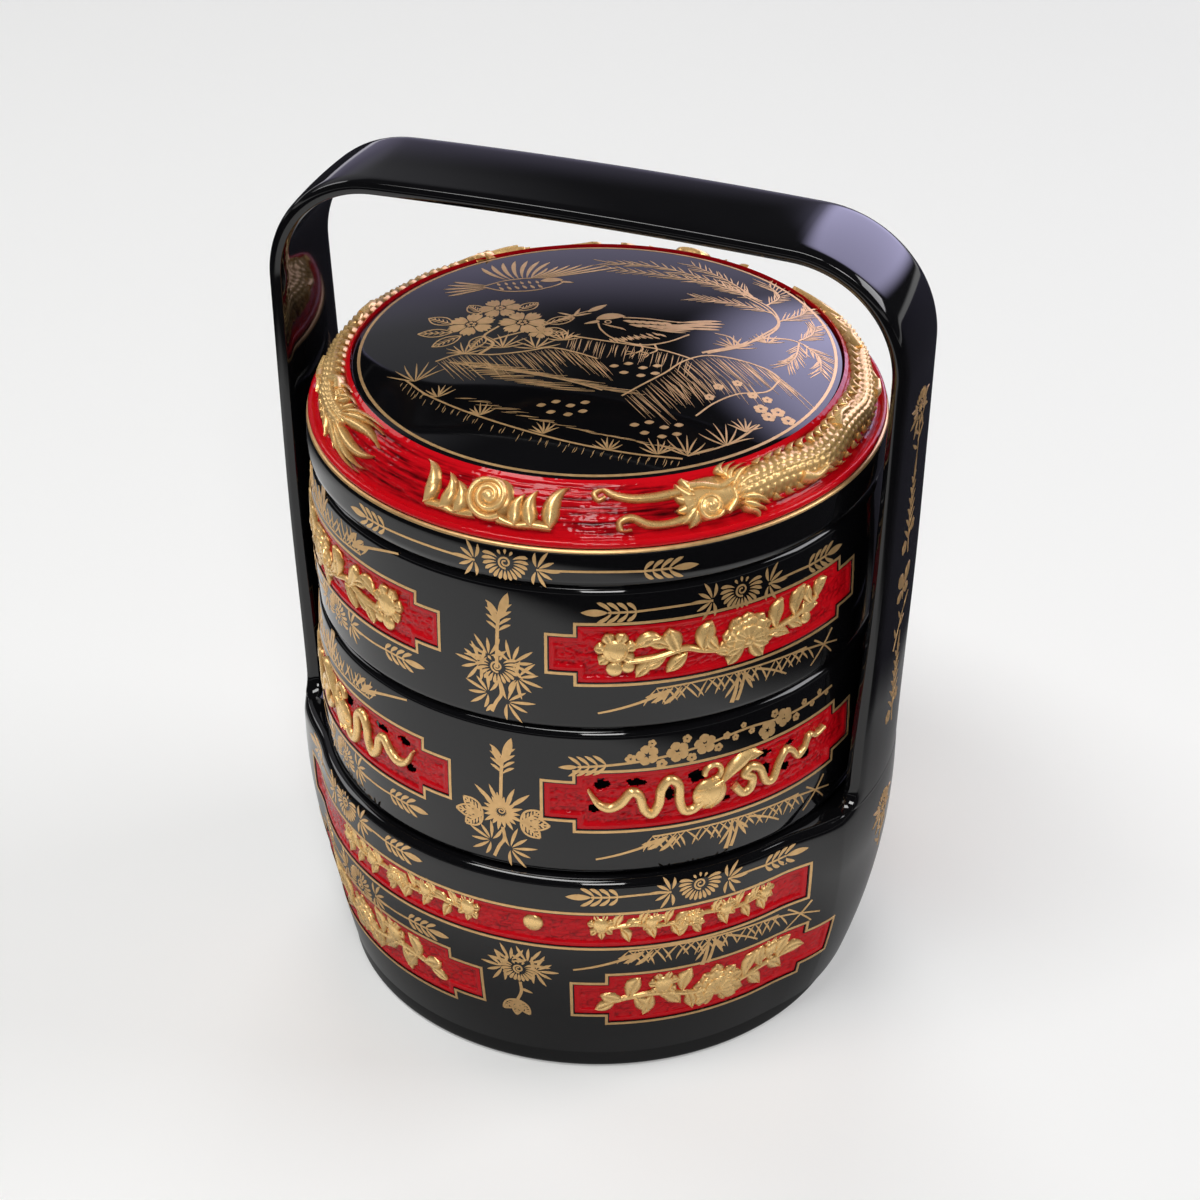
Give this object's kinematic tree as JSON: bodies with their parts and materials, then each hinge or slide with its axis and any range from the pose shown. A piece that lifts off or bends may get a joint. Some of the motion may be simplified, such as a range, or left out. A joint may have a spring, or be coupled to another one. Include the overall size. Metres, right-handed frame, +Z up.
{
  "type": "lacquer basket",
  "caption": "Round tiered lacquer basket: footed base with a fixed strap handle, stacking trays and a domed lid, black with red carved panels and gilt relief.",
  "frame": {"origin": "on the ground at the middle of the foot ring", "axes": "+Z up through the lid; +X towards the right-hand leg of the handle; -Y towards the front, between two panels"},
  "size_m": [0.2856, 0.257, 0.3772],
  "materials": {
    "black_lacquer": "black lacquer over wood, polished to a deep gloss",
    "red_lacquer": "carved red lacquer, glossy",
    "gilding": "gold leaf over carved relief, bright and slightly worn",
    "gold_paint": "fine gold paint on lacquer, satin",
    "bamboo": "split bamboo, plain"
  },
  "bodies": {
    "base": {"base_wall": "black_lacquer", "base_floor": "black_lacquer", "foot_ring": "black_lacquer", "base_collar": "black_lacquer", "base_panel_front_right": "red_lacquer", "base_panel_front_left": "red_lacquer", "base_panel_back_left": "red_lacquer", "base_panel_back_right": "red_lacquer", "base_band_front": "red_lacquer", "base_band_back": "red_lacquer", "handle": "black_lacquer", "handle_peg_right_front": "bamboo", "handle_peg_right_back": "bamboo", "handle_peg_left_front": "bamboo", "handle_peg_left_back": "bamboo"},
    "lower_tray": {"lower_tray_wall": "black_lacquer", "lower_tray_floor": "black_lacquer", "lower_tray_collar": "black_lacquer", "lower_tray_panel_front_right": "red_lacquer", "lower_tray_panel_back_right": "red_lacquer", "lower_tray_panel_back_left": "red_lacquer", "lower_tray_panel_front_left": "red_lacquer"},
    "upper_tray": {"upper_tray_wall": "black_lacquer", "upper_tray_floor": "black_lacquer", "upper_tray_collar": "black_lacquer", "upper_tray_panel_front_right": "red_lacquer", "upper_tray_panel_back_right": "red_lacquer", "upper_tray_panel_back_left": "red_lacquer", "upper_tray_panel_front_left": "red_lacquer"},
    "lid": {"lid_band": "black_lacquer", "lid_carved_ring": "red_lacquer", "lid_dome": "black_lacquer"}
  },
  "joints": [
    {"name": "lower_tray_lift", "type": "slide", "parent": "base", "child": "lower_tray", "axis": [0, 0, 1], "range_m": [0, 0.018]},
    {"name": "upper_tray_lift", "type": "slide", "parent": "lower_tray", "child": "upper_tray", "axis": [0, 0, 1], "range_m": [0, 0.018]},
    {"name": "lid_lift", "type": "slide", "parent": "upper_tray", "child": "lid", "axis": [0, 0, 1], "range_m": [0, 0.018]}
  ]
}
